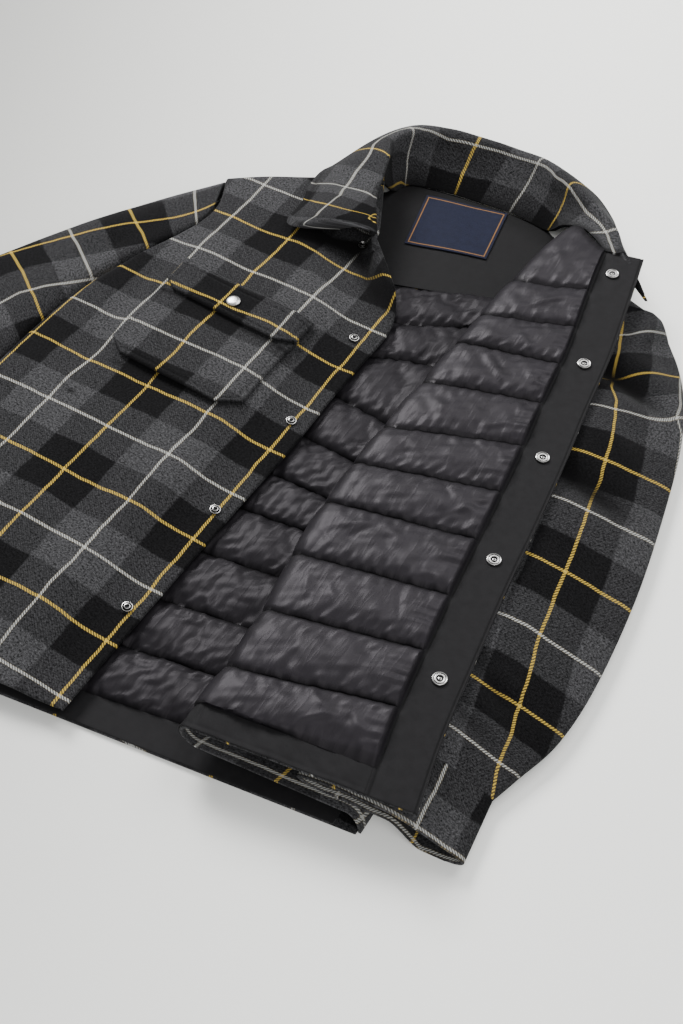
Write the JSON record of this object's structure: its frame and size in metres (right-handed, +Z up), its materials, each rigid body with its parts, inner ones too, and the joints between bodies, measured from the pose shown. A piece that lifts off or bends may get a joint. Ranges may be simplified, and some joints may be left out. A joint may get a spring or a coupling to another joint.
{
  "type": "shacket",
  "caption": "Wool overshirt with a quilted lining, laid flat with its left front folded back over the sleeve to show the lining and the snap facing.",
  "frame": {"origin": "centre of the laid garment's box, on the surface that it lies on", "axes": "+Z up from the surface, +Y from hem to neck, +X towards the wearer's left sleeve"},
  "size_m": [0.9184, 0.912, 0.0647],
  "materials": {
    "wool": "brushed wool blend in a two-tone grey check with thin pale and yellow lines",
    "quilt": "satin nylon, channel quilted",
    "facing": "matt black plain weave",
    "label": "plain navy woven tape",
    "metal": "satin nickel plate"
  },
  "bodies": {
    "root": {"back": "wool", "back_lining": "quilt", "back_neck_facing": "facing", "back_hem_facing": "facing", "label": "label", "right_front": "wool", "chest_pocket": "wool", "pocket_flap": "wool", "flap_snap_cap": "metal", "left_front": "wool", "left_front_lining": "quilt", "left_front_facing": "facing", "left_hem_facing": "facing", "collar": "wool", "right_sleeve": "wool", "right_cuff": "wool", "left_sleeve": "wool", "left_cuff": "wool", "front_stud_1": "metal", "front_stud_2": "metal", "front_stud_3": "metal", "front_stud_4": "metal", "front_stud_5": "metal", "front_socket_1": "metal", "front_socket_2": "metal", "front_socket_3": "metal", "front_socket_4": "metal", "front_socket_5": "metal"}
  },
  "joints": []
}
